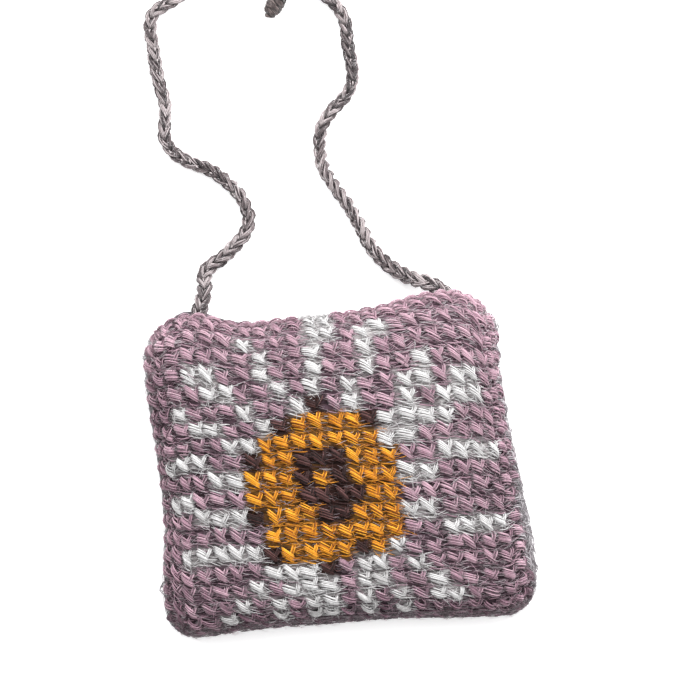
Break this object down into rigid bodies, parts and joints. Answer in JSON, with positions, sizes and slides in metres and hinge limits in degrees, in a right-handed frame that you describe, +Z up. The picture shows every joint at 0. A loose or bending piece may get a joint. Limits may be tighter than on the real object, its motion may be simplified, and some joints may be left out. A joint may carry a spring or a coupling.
{
  "type": "necklace pouch",
  "caption": "Small crocheted pouch with a daisy on its front, open along the top, on a chain-stitched neck cord that is closed by a knot.",
  "frame": {"origin": "under the middle of the pouch, on the surface that it lies on", "axes": "+Z up from the back towards the front, +Y from the foot to the mouth, +X across to the right of the front"},
  "size_m": [0.1067, 0.2953, 0.0224],
  "materials": {
    "mauve_yarn": "matt dusty mauve wool-blend yarn in crocheted stitches",
    "white_yarn": "soft white yarn with a light fuzz",
    "orange_yarn": "bright orange yarn",
    "brown_yarn": "dark brown yarn",
    "grey_yarn": "grey-lilac melange yarn with a fine glitter thread",
    "cord_yarn": "grey-mauve melange yarn in a chain-stitched cord"
  },
  "bodies": {
    "root": {"front_panel": "mauve_yarn", "back_panel": "grey_yarn", "neck_cord_long": "cord_yarn", "neck_cord_short": "cord_yarn", "cord_knot": "cord_yarn", "cord_tail": "cord_yarn"}
  },
  "joints": []
}
